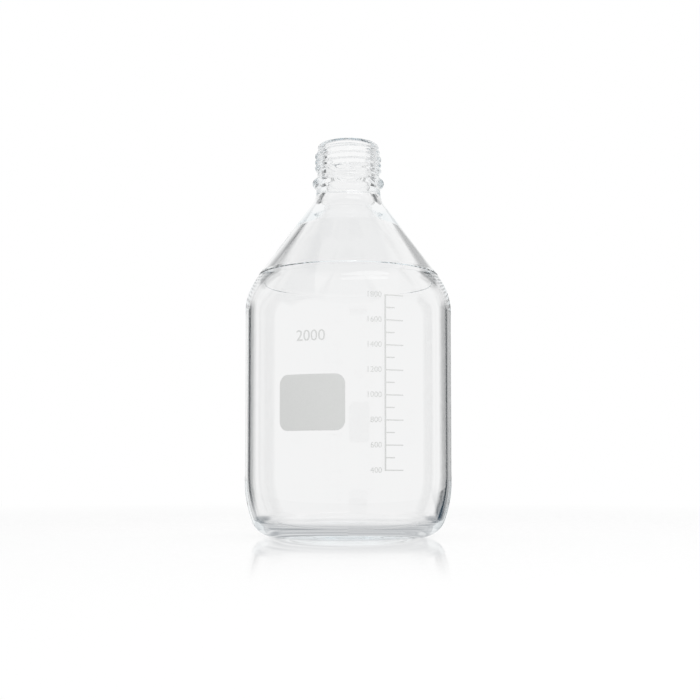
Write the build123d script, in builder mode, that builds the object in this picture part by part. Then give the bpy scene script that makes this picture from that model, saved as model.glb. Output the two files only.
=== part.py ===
from build123d import *
from math import atan2, cos, degrees, hypot, pi, radians, sin, tan
import os

# A round 2000 mL media bottle of blown borosilicate glass with a GL 45 screw neck and fired enamel print.
# Millimetres. +Z runs up the bottle's axis and the origin is the centre of the ring that it stands on.
# The neck finish is measured down from the rim, and the foot up from the table.

# Overall form
bottle_height = 260.0
body_diameter = 136.0

# Thickness of the glass
body_wall = 3.3
shoulder_wall = 4.3
floor_thickness = 5.5

# Foot: a flat ring round a shallow push-up
push_up_height = 2.5
push_up_crown_radius = 20.0
bearing_ring_inset = 24.0

# Heel: a tight corner above the table that runs into a long gentle taper
heel_inset = 8.4
heel_height = 22.6
heel_corner = 14.5
inner_heel_inset = 7.7
inner_heel_height = 20.5
inner_heel_corner = 11.0

# Shoulder: a rounded dome, a pressed crease, then a straight cone
crease_inset = 9.3
crease_land = 3.2
crease_land_angle = 30.0
dome_angle = 36.5
cone_angle = 36.4
cone_drop = 36.7
cone_blend = 18.0
inner_shoulder_blend = 34.0

# Throat: under the straight bore the wall is thicker than the cone's, and it thins down to it
bore_depth = 30.5
throat_height = 13.0
throat_wall = 6.4
throat_run_out = 13.8
throat_top_blend = 20.0
throat_blend = 20.0
throat_foot_blend = 40.0

# Neck finish
lip_diameter = 40.7
lip_height = 1.6
lip_crown = 1.1
groove_diameter = 39.6
groove_height = 1.0
groove_ramp = 0.8
thread_root_diameter = 41.5
bead_diameter = 47.8
bead_drop = 25.75
bead_crest_height = 1.9
bead_foot_height = 7.0
bead_round = 1.6
collar_diameter = 43.0
bore_diameter = 30.0

# GL 45 thread: a right-handed ridge with flanks of 30 degrees
thread_diameter = 44.4
thread_pitch = 4.0
thread_turns = 2.9
thread_end_turns = 0.28
thread_top_drop = 6.1
thread_base_width = 3.0
thread_flank_angle = 30.0
thread_top_azimuth = -60.0
thread_sink = 0.6

# Enamel print, drawn flat and wrapped round the wall. Azimuths are from the front, -Y, towards +X.
enamel_thickness = 0.1
scale_azimuth = 19.4
scale_line_width = 1.0
graduation_volume = 100_000.0
first_mark_height = 43.0
mark_count = 15
long_mark_length = 12.1
short_mark_length = 6.2
mark_width = 0.7
patch_azimuth = -19.7
patch_width = 43.4
patch_height = 34.3
patch_corner = 6.0
patch_centre_height = 84.1

body_radius = body_diameter / 2
inner_radius = body_radius - body_wall
bore_radius = bore_diameter / 2
collar_radius = collar_diameter / 2
bead_radius = bead_diameter / 2
lip_radius = lip_diameter / 2
groove_radius = groove_diameter / 2
thread_root = thread_root_diameter / 2
thread_crest = thread_diameter / 2


def tangent_length(radius, turn):
    """How much of each straight run an arc of this radius takes up where the outline turns by turn degrees."""
    return radius * tan(radians(turn) / 2)


def radius_in(run, turn):
    """The largest radius whose arc fits in this run, with a little of the straight left."""
    return 0.98 * run / tan(radians(turn) / 2)


# Outside of the heel. The taper would meet the table at the foot corner.
foot_corner_radius = body_radius - heel_inset
taper_angle = degrees(atan2(heel_inset, heel_height))
taper_run = hypot(heel_inset, heel_height) - tangent_length(heel_corner, 90 - taper_angle)
heel_blend = radius_in(taper_run, taper_angle)

# Outside of the shoulder, from the neck down: the cone, the crease's land, and the dome's upper tangent
cone_top = bottle_height - cone_drop
crease_radius = body_radius - crease_inset
crease_height = cone_top - (crease_radius - collar_radius) / tan(radians(cone_angle))
land_radius = crease_radius + crease_land * sin(radians(crease_land_angle))
land_height = crease_height - crease_land * cos(radians(crease_land_angle))
dome_run = (body_radius - land_radius) / sin(radians(dome_angle))
dome_corner_height = land_height - dome_run * cos(radians(dome_angle))
dome_radius = radius_in(dome_run, dome_angle)


def inside_of_cone(height, wall):
    """The radius inside the outer cone at this height, under a wall this thick."""
    return collar_radius + (cone_top - height) * tan(radians(cone_angle)) - wall / cos(radians(cone_angle))


# Inside of the shoulder: the throat, then a cone parallel to the outer one
bore_foot = bottle_height - bore_depth
throat_foot = bore_foot - throat_height
throat_radius = inside_of_cone(throat_foot, throat_wall)
inner_cone_top = throat_foot - throat_run_out
inner_cone_top_radius = inside_of_cone(inner_cone_top, shoulder_wall)
inner_cone_foot = inner_cone_top - (inner_radius - inner_cone_top_radius) / tan(radians(cone_angle))

# Inside of the heel
inner_foot_radius = inner_radius - inner_heel_inset
inner_taper_angle = degrees(atan2(inner_heel_inset, inner_heel_height))
inner_taper_run = hypot(inner_heel_inset, inner_heel_height) - tangent_length(
    inner_heel_corner, 90 - inner_taper_angle
)
inner_heel_blend = radius_in(inner_taper_run, inner_taper_angle)

# Neck finish, as heights above the table
lip_foot = bottle_height - lip_height
groove_top = lip_foot - groove_ramp
groove_foot = groove_top - groove_height
thread_zone_top = groove_foot - groove_ramp
lip_shoulder = bottle_height - lip_crown
bead_centre = bottle_height - bead_drop

# The section of the glass on one side of the axis: each corner with the radius that rounds it
bearing_ring_radius = body_radius - bearing_ring_inset
outside = [
    ((0, push_up_height), 0),
    ((push_up_crown_radius, push_up_height), 0),
    ((bearing_ring_radius, 0), 0),
    ((foot_corner_radius, 0), heel_corner),
    ((body_radius, heel_height), heel_blend),
    ((body_radius, dome_corner_height), dome_radius),
    ((land_radius, land_height), 0),
    ((crease_radius, crease_height), 0),
    ((collar_radius, cone_top), cone_blend),
    ((collar_radius, bead_centre - bead_foot_height / 2), 0),
    ((bead_radius, bead_centre - bead_crest_height / 2), bead_round),
    ((bead_radius, bead_centre + bead_crest_height / 2), bead_round),
    ((thread_root, bead_centre + bead_foot_height / 2), 0),
    ((thread_root, thread_zone_top), 0),
    ((groove_radius, groove_foot), 0),
    ((groove_radius, groove_top), 0),
    ((lip_radius, lip_foot), 0),
    ((lip_radius, lip_shoulder), 0),
]
inside = [
    ((bore_radius, lip_shoulder), 0),
    ((bore_radius, bore_foot), throat_top_blend),
    ((throat_radius, throat_foot), throat_blend),
    ((inner_cone_top_radius, inner_cone_top), throat_foot_blend),
    ((inner_radius, inner_cone_foot), inner_shoulder_blend),
    ((inner_radius, floor_thickness + inner_heel_height), inner_heel_blend),
    ((inner_foot_radius, floor_thickness), inner_heel_corner),
    ((bearing_ring_radius, floor_thickness), 0),
    ((push_up_crown_radius, floor_thickness + push_up_height), 0),
    ((0, floor_thickness + push_up_height), 0),
]


def wall_line(corners):
    """One face of the wall in section, through its corners and round each of them."""
    points = [point for point, _ in corners]
    radii = [radius for _, radius in corners[1:-1]]
    return FilletPolyline(*points, radius=radii)


# Thread ridge, built from the +X side at height 0 and then turned and lifted into place
thread_depth = thread_crest - thread_root
thread_base = thread_base_width / 2
thread_tip = thread_base - thread_depth * tan(radians(thread_flank_angle))
thread_rise = thread_pitch * thread_turns
thread_foot_height = bottle_height - thread_top_drop - thread_rise
thread_foot_azimuth = thread_top_azimuth - 360 * thread_turns

with BuildSketch(Plane.XZ) as thread_section:
    with BuildLine():
        Polyline(
            (thread_root - thread_sink, -thread_base),
            (thread_root, -thread_base),
            (thread_crest, -thread_tip),
            (thread_crest, thread_tip),
            (thread_root, thread_base),
            (thread_root - thread_sink, thread_base),
            close=True,
        )
    make_face()

with BuildPart() as thread_ridge:
    with BuildLine() as ridge_path:
        Helix(thread_pitch, thread_rise, thread_root)
    sweep(sections=thread_section.sketch, path=ridge_path.line, is_frenet=True)

# Each end of the ridge dives into the neck along a narrowing helix
end_rise = thread_pitch * thread_end_turns
end_angle = degrees(atan2(thread_depth + thread_sink / 2, end_rise))

with BuildPart() as thread_end:
    with BuildLine() as end_path:
        Helix(thread_pitch / cos(radians(end_angle)), end_rise, thread_root, cone_angle=-end_angle)
    sweep(sections=thread_section.sketch, path=end_path.line, is_frenet=True)

with BuildPart() as thread:
    add(thread_ridge.part)
    with Locations(Location((0, 0, thread_rise), (0, 0, 360 * thread_turns))):
        add(thread_end.part)
    add(thread_end.part, rotation=(180, 0, 0))

# The bottle: one wall turned from its section, with the thread on its neck
with BuildPart() as bottle:
    with BuildSketch(Plane.XZ):
        with BuildLine():
            outer_line = wall_line(outside)
            inner_line = wall_line(inside)
            ThreePointArc(outer_line @ 1, ((lip_radius + bore_radius) / 2, bottle_height), inner_line @ 0)
            Line(inner_line @ 1, outer_line @ 0)
        make_face()
    revolve(axis=Axis.Z)
    with Locations(Location((0, 0, thread_foot_height), (0, 0, thread_foot_azimuth))):
        add(thread.part)

# A thin skin round the straight wall, which the flat drawings of the print are cut to
with BuildPart() as enamel_skin:
    with BuildSketch():
        Circle(body_radius + enamel_thickness)
        Circle(body_radius, mode=Mode.SUBTRACT)
    extrude(amount=bottle_height)


def print_plane(azimuth):
    """An upright plane through the axis, facing this azimuth, with x to the right of someone who faces it."""
    turn = radians(azimuth)
    return Plane(origin=(0, 0, 0), x_dir=(cos(turn), sin(turn), 0), z_dir=(sin(turn), -cos(turn), 0))


# The scale: marks one graduation apart, each other one long, standing on an upright line
mark_pitch = graduation_volume / (pi * inner_radius**2)
scale_height = mark_pitch * (mark_count - 1)

with BuildPart() as graduation_scale:
    with BuildSketch(print_plane(scale_azimuth)):
        with Locations((0, first_mark_height - mark_width / 2)):
            Rectangle(scale_line_width, scale_height + mark_width, align=(Align.CENTER, Align.MIN))
        for mark in range(mark_count):
            length = long_mark_length if mark % 2 == 0 else short_mark_length
            with Locations((0, first_mark_height + mark * mark_pitch)):
                Rectangle(length, mark_width, align=(Align.MIN, Align.CENTER))
    extrude(amount=body_diameter)
    add(enamel_skin.part, mode=Mode.INTERSECT)

# The patch to write on, with its width measured round the wall
patch_chord = 2 * body_radius * sin(patch_width / body_diameter)

with BuildPart() as marking_patch:
    with BuildSketch(print_plane(patch_azimuth)):
        with Locations((0, patch_centre_height)):
            RectangleRounded(patch_chord, patch_height, patch_corner)
    extrude(amount=body_diameter)
    add(enamel_skin.part, mode=Mode.INTERSECT)

os.makedirs("parts", exist_ok=True)
for label, piece in (
    ("bottle", bottle),
    ("graduation_scale", graduation_scale),
    ("marking_patch", marking_patch),
):
    piece.part.label = label
    export_step(piece.part, f"parts/{label}.step")
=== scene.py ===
"""The looks of a round 2000 mL media bottle of clear glass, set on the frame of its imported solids."""

from math import ceil, cos, degrees, pi, radians, sin, tan

import bmesh
import bpy
import numpy as np
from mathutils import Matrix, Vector


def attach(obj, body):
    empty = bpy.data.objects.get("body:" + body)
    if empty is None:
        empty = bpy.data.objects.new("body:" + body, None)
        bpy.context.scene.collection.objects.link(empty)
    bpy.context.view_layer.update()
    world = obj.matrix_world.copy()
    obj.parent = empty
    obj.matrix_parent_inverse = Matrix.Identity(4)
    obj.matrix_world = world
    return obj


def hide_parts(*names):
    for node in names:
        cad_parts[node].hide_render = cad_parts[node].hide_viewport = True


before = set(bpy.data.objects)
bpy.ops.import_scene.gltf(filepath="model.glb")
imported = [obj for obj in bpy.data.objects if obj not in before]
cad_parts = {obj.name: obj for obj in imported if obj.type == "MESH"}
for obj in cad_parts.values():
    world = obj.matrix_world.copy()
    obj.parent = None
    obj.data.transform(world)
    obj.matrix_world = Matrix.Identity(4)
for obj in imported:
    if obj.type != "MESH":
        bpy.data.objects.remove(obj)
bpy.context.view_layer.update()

MM = 0.001
TINY = 1e-4
BODY = "root"

# The bottle, in millimetres: +Z up its axis, -Y to the front
HEIGHT = 260.0
WALL_RADIUS = 68.0
WALL = 3.3
INNER_RADIUS = WALL_RADIUS - WALL
FLOOR = 5.5
PUSH_UP = 2.5
PUSH_UP_RADIUS = 20.0
RING_RADIUS = 44.0
NECK_RADIUS = 20.75
COLLAR_RADIUS = 21.5
BEAD_RADIUS = 23.9
GROOVE_RADIUS = 19.8
LIP_RADIUS = 20.35
BORE_RADIUS = 15.0

# The wall in section, from the middle of the foot up the outside, over the lip and down the inside:
# radius, height and rounding of each corner
SECTION = [
    # foot
    (0, PUSH_UP, 0),
    (PUSH_UP_RADIUS, PUSH_UP, 12),
    (RING_RADIUS, 0, 8),
    (59.6, 0, 14.5),
    # wall
    (WALL_RADIUS, 22.6, 76),
    (WALL_RADIUS, 159.7, 38),
    # crease
    (60.3, 170.1, 0.25),
    (59.5, 170.75, 0.25),
    (59.6, 171.4, 0.25),
    (58.7, 172.85, 0.5),
    # collar and transfer bead
    (COLLAR_RADIUS, 223.3, 18),
    (COLLAR_RADIUS, 230.75, 1.6),
    (BEAD_RADIUS, 233.3, 1.6),
    (BEAD_RADIUS, 235.2, 1.6),
    # neck under the thread, groove and lip
    (NECK_RADIUS, 237.75, 1.2),
    (NECK_RADIUS, 255.8, 0.8),
    (GROOVE_RADIUS, 256.6, 0.6),
    (GROOVE_RADIUS, 257.6, 0.6),
    (LIP_RADIUS, 258.4, 0.5),
    (LIP_RADIUS, HEIGHT, 1.4),
    # bore and throat
    (BORE_RADIUS, HEIGHT, 2.6),
    (BORE_RADIUS, 229.5, 20),
    (18.56, 216.5, 20),
    # inside of the cone, the wall and the floor
    (31.34, 202.7, 40),
    (INNER_RADIUS, 157.46, 34),
    (INNER_RADIUS, 26.0, 75),
    (57.0, FLOOR, 11),
    (RING_RADIUS, FLOOR, 8),
    (PUSH_UP_RADIUS, FLOOR + PUSH_UP, 12),
    (0, FLOOR + PUSH_UP, 0),
]

# Fineness of the turned wall: columns round it, how far an arc may leave its facets, the widest step on an
# arc in degrees, and how far from the ends of a straight run its extra rows are
COLUMNS = 248
ARC_GAP = 0.0045
ARC_STEP = 9.0
RUN_MARGINS = (0.5, 1.5)

# Screw thread: a rounded right-handed ridge on the neck, with azimuths in degrees from +X
THREAD_ZONE = (239.0, 255.2)
THREAD_MARGIN = 1.3
THREAD_ROW = 0.3
THREAD_DEPTH = 1.45
THREAD_HALF_WIDTH = 1.9
THREAD_FULLNESS = 0.8
THREAD_PITCH = 4.0
THREAD_TURNS = 2.9
THREAD_END = 0.28
THREAD_TOP_DROP = 6.1
THREAD_TOP_AZIMUTH = -60.0
THREAD_FOOT_AZIMUTH = THREAD_TOP_AZIMUTH - 360 * THREAD_TURNS
THREAD_FOOT_HEIGHT = HEIGHT - THREAD_TOP_DROP - THREAD_PITCH * THREAD_TURNS

# Enamel print: azimuths in degrees from the front towards +X
INK_BED = 67.96
INK_FACE = 68.1
INK_STRIP = 1.2
SCALE_AZIMUTH = 19.4
MARK_COUNT = 15
MARK_VOLUME = 100_000  # cubic millimetres
MARK_PITCH = MARK_VOLUME / (pi * INNER_RADIUS**2)
FIRST_MARK = 43.0
LONG_MARK = 12.1
SHORT_MARK = 6.2
MARK_WIDTH = 0.7
LINE_WIDTH = 1.0
PATCH_AZIMUTH = -19.7
PATCH_SIZE = (43.4, 34.3)
PATCH_CORNER = 6.0
PATCH_CORNER_STEPS = 12
PATCH_HEIGHT = 84.1

# Numerals: the volumes stand left of the scale's line, and the capacity over the patch
FIRST_VOLUME = 400
VOLUME_STEP = 200
FIGURE_HEIGHT = 3.6
FIGURE_OFFSET = -2.2
CAPACITY = "2000"
CAPACITY_HEIGHT = 7.0
CAPACITY_CENTRE = 124.5
TYPEFACE_SHARE = 0.73

# Studio, in metres. Azimuths are in degrees from the back, +Y, towards +X.
# Painted shade: the colour of the tent's dark parts, which only the glass shows, as its dark edges
DARK = (0.012, 0.02, 0.025, 1)
# Painted shade: the teal dark of the floor that the glass shows under and beside the bottle
PAINTED_SHADE_TEAL = (0.01, 0.04, 0.07, 1)
# Painted shade: the grey overhead that only rays off the glass see
PAINTED_CEILING_SHADE = (0.45, 0.47, 0.49, 1)
AMBIENT = 0.62
FLOOR_SIZE = 12.0
TENT_RADIUS = 0.3
TENT_HEIGHT = 0.48
TENT_SIDES = 240

# Light that runs inside the wall needs many bounces
BOUNCES = 48

# Painted shade for the glass's dark edges, as dark parts of the tent: from, to, width of the soft edges, then
# how dark low down, everywhere and high up
RIGHT_PARTS = [
    (26.5, 32.5, 3.0, 0.9, 0.0, 0.0),
    (25.5, 46.0, 4.0, 0.25, 0.2, 0.35),
    (44.5, 67.0, 4.0, 0.75, 0.25, 0.65),
]
LEFT_PARTS = [
    (-34.0, -30.0, 3.0, 0.4, 0.0, 0.0),
    (-64.0, -42.5, 2.0, 0.8, 0.2, 0.0),
    (-67.0, -33.0, 14.0, 0.0, 0.0, 0.6),
    (-67.0, -53.0, 4.0, 0.0, 0.0, 0.9),
]
LEFT_CORE = (-54.0, -38.0, 4.0)
LEFT_CORE_HEIGHTS = (0.375, 0.46, 0.03)
LEFT_CORE_STRENGTH = 0.95
# Painted shade at the front of the tent, for the views from behind
FRONT_PARTS = (-158.5, -113.5, 113.5, 158.5)
FRONT_HALF_WIDTH = 8.5
FRONT_STRENGTH = 0.4


# Nodes


def node(tree, kind, *values, **settings):
    """A new node with its first inputs set to these values, or linked to them where they are sockets."""
    made = tree.nodes.new(kind)
    for name, value in settings.items():
        setattr(made, name, value)
    for socket, value in zip(made.inputs, values):
        if isinstance(value, bpy.types.NodeSocket):
            tree.links.new(value, socket)
        elif value is not None:
            socket.default_value = value
    return made


def math(tree, operation, *values):
    return node(tree, "ShaderNodeMath", *values, operation=operation).outputs[0]


def product(tree, first, *others):
    for other in others:
        first = math(tree, "MULTIPLY", first, other)
    return first


def largest(tree, first, *others):
    for other in others:
        first = math(tree, "MAXIMUM", first, other)
    return first


def ramp(tree, value, start, end, low=0.0, high=1.0):
    """A smooth step from low, where value is at start, to high, where it is at end."""
    made = node(tree, "ShaderNodeMapRange", value, start, end, low, high, interpolation_type="SMOOTHSTEP")
    return made.outputs[0]


def band(tree, value, start, end, soft=2.0):
    """1 where value is between start and end, with soft edges."""
    rise = ramp(tree, value, start - soft / 2, start + soft / 2)
    fall = ramp(tree, value, end - soft / 2, end + soft / 2, 1.0, 0.0)
    return product(tree, rise, fall)


def mix(tree, share, first, second):
    """The colour that is first where share is 0 and second where it is 1."""
    made = tree.nodes.new("ShaderNodeMix")
    made.data_type = "RGBA"
    factor, a, b = made.inputs[0], made.inputs[6], made.inputs[7]
    for socket, value in ((factor, share), (a, first), (b, second)):
        if isinstance(value, bpy.types.NodeSocket):
            tree.links.new(value, socket)
        else:
            socket.default_value = value
    return made.outputs[2]


def mixed_shaders(tree, share, first, second):
    return node(tree, "ShaderNodeMixShader", share, first, second).outputs[0]


def emission(tree, colour):
    return node(tree, "ShaderNodeEmission", colour).outputs[0]


def grey(level):
    return (level, level, level, 1)


def position(tree):
    """The x, y and z of the point that is shaded, in metres."""
    place = node(tree, "ShaderNodeNewGeometry")
    return node(tree, "ShaderNodeSeparateXYZ", place.outputs["Position"]).outputs


def compass(tree, x, y):
    """The direction of this point from the axis, in degrees from +Y towards +X."""
    return product(tree, math(tree, "ARCTAN2", x, y), degrees(1))


def off_glass(tree, rays):
    """1 for a ray that comes straight off the glass or out of it, and 0 for any other."""
    aside = largest(tree, rays.outputs["Is Camera Ray"], rays.outputs["Is Shadow Ray"])
    return product(tree, rays.outputs["Is Singular Ray"], math(tree, "SUBTRACT", 1.0, aside))


def bare_material(name):
    """A new material with an output node only: itself, its tree and that node."""
    material = bpy.data.materials.new(name)
    material.use_nodes = True
    tree = material.node_tree
    tree.nodes.clear()
    return material, tree, node(tree, "ShaderNodeOutputMaterial")


# The turned bottle


def row(point, along):
    """A row of the section: r and z, then the way that the glass faces where the line runs along this way."""
    return np.array([*point, along[1], -along[0]])


def unit(way):
    return way / np.linalg.norm(way)


def rounded(corners):
    """Rows on the line through these (r, z, rounding) corners."""
    points = [np.array(corner[:2], float) for corner in corners]
    rows = [row(points[0], unit(points[1] - points[0]))]
    for before, at, after, (_, _, rounding) in zip(points, points[1:], points[2:], corners[1:]):
        back, ahead = unit(before - at), unit(after - at)
        half = np.arccos(np.clip(back @ ahead, -1, 1)) / 2
        turn = pi - 2 * half
        centre = at + unit(back + ahead) * rounding / sin(half)
        start = at + back * rounding / tan(half) - centre
        side = -np.sign(back[0] * ahead[1] - back[1] * ahead[0])
        step = min(radians(ARC_STEP), np.sqrt(8 * ARC_GAP / rounding))
        steps = max(3, ceil(turn / step))
        for k in range(steps + 1):
            angle = side * turn * k / steps
            spin = np.array([[cos(angle), -sin(angle)], [sin(angle), cos(angle)]])
            rows.append(row(centre + spin @ start, spin @ -back))
    rows.append(row(points[-1], ahead))
    return rows


def with_margins(arcs):
    """The same rows with a few more close to both ends of each long straight run."""
    rows = [arcs[0]]
    for before, after in zip(arcs, arcs[1:]):
        start, end = before[:2], after[:2]
        length = np.linalg.norm(end - start)
        if length > 4 * RUN_MARGINS[-1]:
            along = (end - start) / length
            rows += [row(start + along * m, along) for m in RUN_MARGINS]
            rows += [row(end - along * m, along) for m in reversed(RUN_MARGINS)]
        if length > TINY:
            rows.append(after)
    return rows


def with_thread_rows(rows):
    """The same rows, evenly and finely spaced where the neck carries the thread."""
    low, high = THREAD_ZONE[0] - THREAD_MARGIN, THREAD_ZONE[1] + THREAD_MARGIN
    close = 0.05
    neck = [i for i, (r, z, *_) in enumerate(rows) if abs(r - NECK_RADIUS) < close and low < z < high]
    first, last = neck[0], neck[-1]
    radius, foot, top = rows[first][0], rows[first][1], rows[last][1]
    heights = np.linspace(foot, top, ceil((top - foot) / THREAD_ROW) + 1)
    return rows[:first] + [row((radius, z), (0, 1)) for z in heights] + rows[last + 1 :]


def thread_height(azimuth, z):
    """How far the thread stands out of the neck at these azimuths and heights."""
    out = np.zeros(np.broadcast(azimuth, z).shape)
    for lap in range(-1, ceil(THREAD_TURNS) + 2):
        turns = (azimuth - THREAD_FOOT_AZIMUTH) / 360 % 1 + lap
        centre = THREAD_FOOT_HEIGHT + THREAD_PITCH * turns
        foot = np.clip((turns + THREAD_END) / THREAD_END, 0, 1)
        top = np.clip((THREAD_TURNS + THREAD_END - turns) / THREAD_END, 0, 1)
        fade = foot**2 * (3 - 2 * foot) * top**2 * (3 - 2 * top)
        across = np.clip(np.abs(z - centre) / THREAD_HALF_WIDTH, 0, 1)
        out = np.maximum(out, THREAD_DEPTH * fade * (0.5 + 0.5 * np.cos(pi * across)) ** THREAD_FULLNESS)
    return out


def thread_slopes(azimuth, z):
    """How fast the thread's height changes up the neck, per millimetre, and round it, per radian."""
    lift, turn = 0.01, 0.1
    up = (thread_height(azimuth, z + lift) - thread_height(azimuth, z - lift)) / (2 * lift)
    aside = (thread_height(azimuth + turn, z) - thread_height(azimuth - turn, z)) / radians(2 * turn)
    return up, aside


def turned_faces(rings):
    """Faces between this many rings of points and over both ends. The ends' middle points come last."""
    start = np.arange(rings - 1)[:, None] * COLUMNS
    here = np.arange(COLUMNS)[None, :]
    after = (here + 1) % COLUMNS
    quads = [start + here, start + after, start + after + COLUMNS, start + here + COLUMNS]
    faces = np.stack(quads, -1).reshape(-1, 4).tolist()
    foot, floor = rings * COLUMNS, rings * COLUMNS + 1
    top = (rings - 1) * COLUMNS
    faces += [[foot, (c + 1) % COLUMNS, c] for c in range(COLUMNS)]
    faces += [[floor, top + c, top + (c + 1) % COLUMNS] for c in range(COLUMNS)]
    return faces


def add_mesh(name, vertices, faces, material):
    mesh = bpy.data.meshes.new(name)
    mesh.from_pydata([tuple(v) for v in vertices], [], [tuple(int(i) for i in f) for f in faces])
    mesh.shade_smooth()
    mesh.materials.append(material)
    made = bpy.data.objects.new(name, mesh)
    bpy.context.scene.collection.objects.link(made)
    return made


def turned_bottle(name, material):
    """The wall turned round the axis, with the thread raised on its neck and with its true normals."""
    rows = with_thread_rows(with_margins(rounded(SECTION)))
    r, z, face_out, face_up = (column[:, None] for column in np.array(rows)[1:-1].T)
    azimuth = np.arange(COLUMNS)[None, :] * 360 / COLUMNS
    low, high = THREAD_ZONE[0] - THREAD_MARGIN, THREAD_ZONE[1] + THREAD_MARGIN
    threaded = (r > (BORE_RADIUS + GROOVE_RADIUS) / 2) & (z > low) & (z < high)
    radius = r + threaded * thread_height(azimuth, z)
    slope_up, slope_aside = (threaded * slope for slope in thread_slopes(azimuth, z))
    c, s = np.cos(np.radians(azimuth)), np.sin(np.radians(azimuth))
    points = np.stack([radius * c, radius * s, np.broadcast_to(z, radius.shape)], -1).reshape(-1, 3)
    aside, up = -slope_aside / radius, face_up - slope_up
    normals = np.stack([face_out * c - aside * s, face_out * s + aside * c, up], -1).reshape(-1, 3)
    normals /= np.linalg.norm(normals, axis=1)[:, None]
    points = np.vstack([points, [[0, 0, rows[0][1]], [0, 0, rows[-1][1]]]]) * MM
    normals = np.vstack([normals, [[0, 0, -1], [0, 0, 1]]])
    made = add_mesh(name, points, turned_faces(len(r)), material)
    made.data.normals_split_custom_set_from_vertices(normals.tolist())
    return made


# The print


def wrapped(name, flat, azimuth, material):
    """A flat drawing, x along the wall and z up, laid round the wall as a thin coat of enamel."""
    xs = [v.co.x for v in flat.verts]
    for x in np.arange(min(xs) + INK_STRIP, max(xs), INK_STRIP):
        parts = flat.verts[:] + flat.edges[:] + flat.faces[:]
        bmesh.ops.bisect_plane(flat, geom=parts, plane_co=(x, 0, 0), plane_no=(1, 0, 0), dist=TINY)
    bmesh.ops.recalc_face_normals(flat, faces=flat.faces)
    for face in flat.faces:
        if face.normal.y > 0:
            face.normal_flip()
    bed = bmesh.ops.extrude_face_region(flat, geom=flat.faces[:], use_keep_orig=True)
    raised = {v for v in bed["geom"] if isinstance(v, bmesh.types.BMVert)}
    for v in flat.verts:
        turn = radians(azimuth) + v.co.x / WALL_RADIUS
        radius = (INK_FACE if v in raised else INK_BED) * MM
        v.co = Vector((radius * sin(turn), -radius * cos(turn), v.co.z * MM))
    bmesh.ops.recalc_face_normals(flat, faces=flat.faces)
    mesh = bpy.data.meshes.new(name)
    flat.to_mesh(mesh)
    flat.free()
    mesh.materials.append(material)
    made = bpy.data.objects.new(name, mesh)
    bpy.context.scene.collection.objects.link(made)
    return made


def cells(xs, zs, inside):
    """A flat sheet of the cells between these lines whose middle is inside."""
    flat = bmesh.new()
    corner = {}
    for i in range(len(xs) - 1):
        for j in range(len(zs) - 1):
            if not inside((xs[i] + xs[i + 1]) / 2, (zs[j] + zs[j + 1]) / 2):
                continue
            ring = [(i, j), (i + 1, j), (i + 1, j + 1), (i, j + 1)]
            for at in ring:
                if at not in corner:
                    corner[at] = flat.verts.new((xs[at[0]], 0, zs[at[1]]))
            flat.faces.new([corner[at] for at in ring])
    return flat


def scale_drawing():
    """The upright line with its marks, each other one long."""
    half = LINE_WIDTH / 2
    marks = [FIRST_MARK + k * MARK_PITCH for k in range(MARK_COUNT)]
    zs = sorted(z + side * MARK_WIDTH / 2 for z in marks for side in (-1, 1))

    def inside(x, z):
        if x < half:
            return True
        k = round((z - FIRST_MARK) / MARK_PITCH)
        length = SHORT_MARK if k % 2 else LONG_MARK
        return abs(z - marks[k]) < MARK_WIDTH / 2 and x < length

    return cells([-half, half, SHORT_MARK, LONG_MARK], zs, inside)


def patch_drawing():
    """The rounded rectangle of the patch."""
    width, height = PATCH_SIZE
    flat = bmesh.new()
    ring = []
    for quarter, (sx, sz) in enumerate(((1, 1), (-1, 1), (-1, -1), (1, -1))):
        cx, cz = sx * (width / 2 - PATCH_CORNER), PATCH_HEIGHT + sz * (height / 2 - PATCH_CORNER)
        for k in range(PATCH_CORNER_STEPS + 1):
            a = radians(90 * (quarter + k / PATCH_CORNER_STEPS))
            ring.append(flat.verts.new((cx + PATCH_CORNER * cos(a), 0, cz + PATCH_CORNER * sin(a))))
    flat.faces.new(ring)
    return flat


def figures(text, height, x, z, align):
    """Plain numerals as a flat drawing, their middle at height z, in the built-in typeface."""
    curve = bpy.data.curves.new("figures", "FONT")
    curve.body = text
    curve.align_x = align
    curve.align_y = "CENTER"
    curve.size = height / TYPEFACE_SHARE
    curve.resolution_u = 4
    made = bpy.data.objects.new("figures", curve)
    bpy.context.scene.collection.objects.link(made)
    bpy.context.view_layer.update()
    mesh = bpy.data.meshes.new_from_object(made.evaluated_get(bpy.context.evaluated_depsgraph_get()))
    bpy.data.objects.remove(made)
    flat = bmesh.new()
    flat.from_mesh(mesh)
    bpy.data.meshes.remove(mesh)
    bmesh.ops.remove_doubles(flat, verts=flat.verts, dist=TINY)
    for v in flat.verts:
        v.co = Vector((v.co.x + x, 0, v.co.y + z))
    return flat


def volumes_drawing():
    """A volume beside each long mark, as one drawing."""
    whole = bmesh.new()
    for k in range((MARK_COUNT + 1) // 2):
        height = FIRST_MARK + 2 * k * MARK_PITCH
        flat = figures(str(FIRST_VOLUME + VOLUME_STEP * k), FIGURE_HEIGHT, FIGURE_OFFSET, height, "RIGHT")
        mesh = bpy.data.meshes.new("part")
        flat.to_mesh(mesh)
        flat.free()
        whole.from_mesh(mesh)
        bpy.data.meshes.remove(mesh)
    return whole


# Materials


def principled(name, colour, roughness, **more):
    """A new material with its tree and its Principled shader."""
    material = bpy.data.materials.new(name)
    material.use_nodes = True
    shader = material.node_tree.nodes["Principled BSDF"]
    shader.inputs["Base Color"].default_value = (*colour, 1)
    shader.inputs["Roughness"].default_value = roughness
    for socket, value in more.items():
        shader.inputs[socket.replace("_", " ")].default_value = value
    return material, material.node_tree, shader


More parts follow.
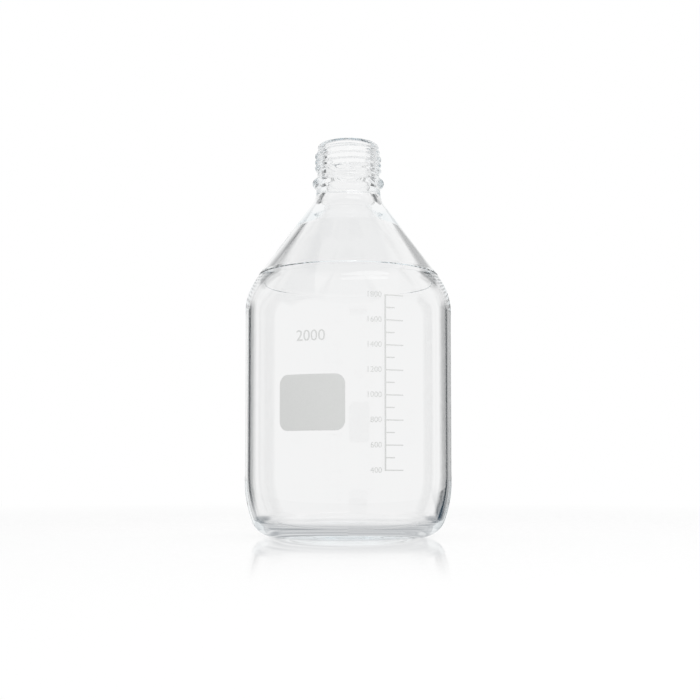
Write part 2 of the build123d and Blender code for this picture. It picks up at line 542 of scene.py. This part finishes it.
def glass():
    """Clear borosilicate glass, faintly blue-green in its depth, which lets lamps shine through."""
    colour, clarity = (0.95, 0.95, 0.95), {"Transmission_Weight": 1.0, "IOR": 1.473}
    material, tree, shader = principled("clear_glass", colour, 0.0, **clarity)
    output = tree.nodes["Material Output"]
    depth_colour, density = (0.5, 0.72, 0.82, 1), 1.5
    tint = node(tree, "ShaderNodeVolumeAbsorption", depth_colour, density)
    tree.links.new(tint.outputs[0], output.inputs["Volume"])
    rays = node(tree, "ShaderNodeLightPath")
    clear = node(tree, "ShaderNodeBsdfTransparent", grey(0.93))
    surface = mixed_shaders(tree, rays.outputs["Is Shadow Ray"], shader.outputs[0], clear.outputs[0])
    tree.links.new(surface, output.inputs["Surface"])
    return material


def enamel():
    """Fired white enamel with a fine grain."""
    material, tree, shader = principled("white_enamel", (0.8, 0.81, 0.8), 0.45, IOR=1.5)
    place = node(tree, "ShaderNodeTexCoord")
    grain = node(tree, "ShaderNodeTexNoise", place.outputs["Object"], noise_dimensions="3D")
    grain.inputs["Scale"].default_value = 900.0
    grain.inputs["Detail"].default_value = 4.0
    tone = mix(tree, grain.outputs[0], (0.77, 0.78, 0.77, 1), (0.82, 0.83, 0.82, 1))
    tree.links.new(tone, shader.inputs["Base Color"])
    relief = node(tree, "ShaderNodeBump")
    relief.inputs["Strength"].default_value = 0.25
    relief.inputs["Distance"].default_value = 0.00004
    tree.links.new(grain.outputs[0], relief.inputs["Height"])
    tree.links.new(relief.outputs[0], shader.inputs["Normal"])
    return material


# Studio


def tent_side(tree, azimuth, low, high, parts):
    """How much painted shade the tent has from these parts."""
    shades = []
    for start, end, soft, when_low, always, when_high in parts:
        strength = math(tree, "ADD", product(tree, low, when_low), always)
        strength = math(tree, "ADD", strength, product(tree, high, when_high))
        shades.append(product(tree, band(tree, azimuth, start, end, soft), strength))
    return largest(tree, *shades)


def painted_edge_shade():
    """White emission with dark parts of painted shade, which only a ray off the glass sees: they paint the
    glass's dark edges.
    """
    material, tree, output = bare_material("painted_edge_shade")
    rays = node(tree, "ShaderNodeLightPath")
    x, y, z = position(tree)
    azimuth = compass(tree, x, y)
    reflections = rays.outputs["Glossy Depth"]
    low = ramp(tree, z, 0.19, 0.235, 1.0, 0.0)
    high = ramp(tree, z, 0.285, 0.31)

    right = tent_side(tree, azimuth, low, high, RIGHT_PARTS)
    right = product(tree, right, ramp(tree, z, 0.39, 0.42, 1.0, 0.0))
    core = product(tree, band(tree, azimuth, *LEFT_CORE), band(tree, z, *LEFT_CORE_HEIGHTS))
    core = product(tree, core, LEFT_CORE_STRENGTH)
    left = largest(tree, tent_side(tree, azimuth, low, high, LEFT_PARTS), core)
    left = product(tree, left, ramp(tree, z, 0.43, 0.47, 1.0, 0.0))

    # The painted shade depends on the ray: one that was reflected often sees white, and one that went
    # straight across the bottle sees little of the dark low down.
    most = math(tree, "ADD", product(tree, low, 2.0), 2.5)
    shade = product(tree, largest(tree, right, left), math(tree, "LESS_THAN", reflections, most))
    direct = math(tree, "LESS_THAN", reflections, 0.5)
    across = math(tree, "GREATER_THAN", rays.outputs["Transmission Depth"], 3.5)
    straight = product(tree, across, direct, ramp(tree, z, 0.235, 0.27, 0.8, 0.0))
    shade = product(tree, shade, math(tree, "SUBTRACT", 1.0, straight))

    # Painted shade at the front, for the views from behind
    front_strength = ramp(tree, z, 0.39, 0.42, FRONT_STRENGTH, 0.0)
    for middle in FRONT_PARTS:
        part = band(tree, azimuth, middle - FRONT_HALF_WIDTH, middle + FRONT_HALF_WIDTH, 3.0)
        shade = largest(tree, shade, product(tree, part, direct, front_strength))

    cloth = emission(tree, mix(tree, shade, grey(1.0), DARK))
    nothing = node(tree, "ShaderNodeBsdfTransparent", grey(1.0)).outputs[0]
    tree.links.new(mixed_shaders(tree, off_glass(tree, rays), nothing, cloth), output.inputs["Surface"])
    return material


def painted_edge_tent():
    """A low round wall close round the bottle, seen only by rays off the glass, whose painted shade gives the
    glass its dark edges.
    """
    turns = [2 * pi * k / TENT_SIDES for k in range(TENT_SIDES)]
    vertices = [(TENT_RADIUS * sin(a), TENT_RADIUS * cos(a), z) for z in (0, TENT_HEIGHT) for a in turns]
    pairs = [(k, (k + 1) % TENT_SIDES) for k in range(TENT_SIDES)]
    faces = [(k, after, after + TENT_SIDES, k + TENT_SIDES) for k, after in pairs]
    add_mesh("painted_edge_tent", vertices, faces, painted_edge_shade())


def studio_world():
    """Plain white to the camera and through the glass, with a grey ceiling of painted shade that only
    reflections and the glass see, and soft light on all else.
    """
    world = bpy.data.worlds.new("studio")
    bpy.context.scene.world = world
    world.use_nodes = True
    tree = world.node_tree
    shader = tree.nodes["Background"]
    rays = node(tree, "ShaderNodeLightPath")
    way = node(tree, "ShaderNodeTexCoord")
    split = node(tree, "ShaderNodeSeparateXYZ", way.outputs["Generated"])
    z = split.outputs[2]
    calm = math(tree, "LESS_THAN", rays.outputs["Glossy Depth"], 3.5)
    # Painted shade overhead: grey above for rays off the glass that were seldom reflected, and darker grey
    # above for other gloss
    overhead = product(tree, ramp(tree, z, 0.82, 0.9), calm)
    through = mix(tree, overhead, grey(1.0), PAINTED_CEILING_SHADE)
    mirrored = mix(tree, ramp(tree, z, 0.5, 0.7), grey(1.0), grey(0.3))
    colour = mix(tree, rays.outputs["Is Glossy Ray"], grey(AMBIENT), mirrored)
    colour = mix(tree, off_glass(tree, rays), colour, through)
    colour = mix(tree, rays.outputs["Is Diffuse Ray"], colour, grey(AMBIENT))
    colour = mix(tree, rays.outputs["Is Camera Ray"], colour, grey(1.0))
    tree.links.new(colour, shader.inputs["Color"])


def plain_floor(tree, rays, out):
    """The floor to the camera: white, with the bottle's soft shadow and a mirror image that fades out."""
    white = emission(tree, grey(1.0))
    matte = node(tree, "ShaderNodeBsdfDiffuse", grey(0.54)).outputs[0]
    lit = node(tree, "ShaderNodeAddShader", emission(tree, grey(0.6)), matte).outputs[0]
    base = mixed_shaders(tree, ramp(tree, out, 0.9, 0.3), white, lit)
    mirror = node(tree, "ShaderNodeBsdfGlossy", grey(1.0), 0.03).outputs[0]
    mirrored = mixed_shaders(tree, ramp(tree, out, 0.33, 0.06, 0.0, 0.5), base, mirror)
    return mixed_shaders(tree, rays.outputs["Is Glossy Ray"], mirrored, white)


def floor_off_glass(tree, x, y, out):
    """The floor to a ray off the glass: painted shade beside the bottle and, unevenly, under it, in place of
    the bottle's contact shadow; shiny at a slant.
    """
    # Painted shade beside the bottle, strong to the right and faint to the left
    width = math(tree, "ABSOLUTE", x)
    aside = largest(tree, math(tree, "SUBTRACT", width, WALL_RADIUS * MM), 0.0)
    turn = compass(tree, product(tree, math(tree, "SIGN", x), aside), y)
    right = band(tree, turn, 9.5, 88.0, 5.0)
    left = product(tree, band(tree, turn, -50.0, -20.0, 8.0), 0.3)
    beside = product(tree, largest(tree, right, left), ramp(tree, out, 0.07, 0.085))

    # Noise that makes the painted shade under the bottle uneven
    polar = node(tree, "ShaderNodeCombineXYZ", product(tree, out, 420.0), product(tree, turn, 0.05))
    scale, detail = 1.0, 3.0
    rings = node(tree, "ShaderNodeTexNoise", polar.outputs[0], None, scale, detail)
    uneven = ramp(tree, rings.outputs[0], 0.35, 0.65, 0.45, 1.25)
    # Painted shade under the bottle: stronger towards the front and at its flanks
    middle = product(tree, ramp(tree, y, 0.06, -0.03, 0.12, 0.5), ramp(tree, out, 0.08, 0.066))
    flank = product(tree, ramp(tree, width, 0.056, 0.066), ramp(tree, out, 0.092, 0.08))
    under = math(tree, "MINIMUM", product(tree, largest(tree, middle, flank), uneven), 0.9)

    seen = emission(tree, mix(tree, beside, mix(tree, under, grey(1.0), PAINTED_SHADE_TEAL), PAINTED_SHADE_TEAL))
    slant = node(tree, "ShaderNodeLayerWeight", 0.5)
    sheen = node(tree, "ShaderNodeBsdfGlossy", grey(0.98), 0.0).outputs[0]
    return mixed_shaders(tree, ramp(tree, slant.outputs["Facing"], 0.7, 0.88), seen, sheen)


def studio_floor():
    material, tree, output = bare_material("white_floor")
    rays = node(tree, "ShaderNodeLightPath")
    x, y, _ = position(tree)
    out = math(tree, "SQRT", math(tree, "ADD", math(tree, "POWER", x, 2.0), math(tree, "POWER", y, 2.0)))
    plain, through = plain_floor(tree, rays, out), floor_off_glass(tree, x, y, out)
    tree.links.new(mixed_shaders(tree, off_glass(tree, rays), plain, through), output.inputs["Surface"])
    corners = [(sx * FLOOR_SIZE, sy * FLOOR_SIZE, 0) for sx, sy in ((-1, -1), (1, -1), (1, 1), (-1, 1))]
    add_mesh("floor", corners, [(0, 1, 2, 3)], material)


def softbox():
    """A large soft lamp above the front, to the right."""
    data = bpy.data.lights.new("softbox", "AREA")
    data.shape = "RECTANGLE"
    data.size, data.size_y = 1.0, 0.6
    radiance = 1.3
    data.energy = radiance * pi * data.size * data.size_y
    lamp = bpy.data.objects.new("softbox", data)
    bpy.context.scene.collection.objects.link(lamp)
    azimuth, elevation, distance = radians(27), radians(47), 1.25
    aim = Vector((0, 0, 0.16))
    way = Vector((sin(azimuth) * cos(elevation), -cos(azimuth) * cos(elevation), sin(elevation)))
    lamp.location = aim + way * distance
    lamp.rotation_euler = way.to_track_quat("Z", "Y").to_euler()


def camera():
    """The photograph's camera: low in front of the bottle, looking a little upwards."""
    data = bpy.data.cameras.new("camera")
    data.sensor_width = 36.0
    data.lens = 57.21
    data.shift_y = 0.0931
    data.clip_start, data.clip_end = 0.01, 100
    made = bpy.data.objects.new("camera", data)
    made.location = (0.0012, -0.7349, 0.0411)
    made.rotation_euler = (radians(93), 0, 0)
    bpy.context.scene.collection.objects.link(made)
    bpy.context.scene.camera = made


# The dressed bottle

clear, white = glass(), enamel()
bottle = turned_bottle("glass_bottle", clear)
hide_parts("bottle")
scale = wrapped("graduation_print", scale_drawing(), SCALE_AZIMUTH, white)
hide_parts("graduation_scale")
patch = wrapped("marking_patch_print", patch_drawing(), PATCH_AZIMUTH, white)
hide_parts("marking_patch")
numerals = wrapped("volume_numerals", volumes_drawing(), SCALE_AZIMUTH, white)
capacity_drawing = figures(CAPACITY, CAPACITY_HEIGHT, 0, CAPACITY_CENTRE, "CENTER")
capacity = wrapped("capacity_numerals", capacity_drawing, PATCH_AZIMUTH, white)
for piece in (bottle, scale, patch, numerals, capacity):
    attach(piece, BODY)

studio_world()
studio_floor()
painted_edge_tent()
softbox()
camera()

scene = bpy.context.scene
scene.view_settings.view_transform = "Standard"
scene.cycles.min_light_bounces = BOUNCES // 2
scene.cycles.max_bounces = BOUNCES
scene.cycles.transmission_bounces = BOUNCES
scene.cycles.glossy_bounces = BOUNCES
scene.cycles.transparent_max_bounces = BOUNCES
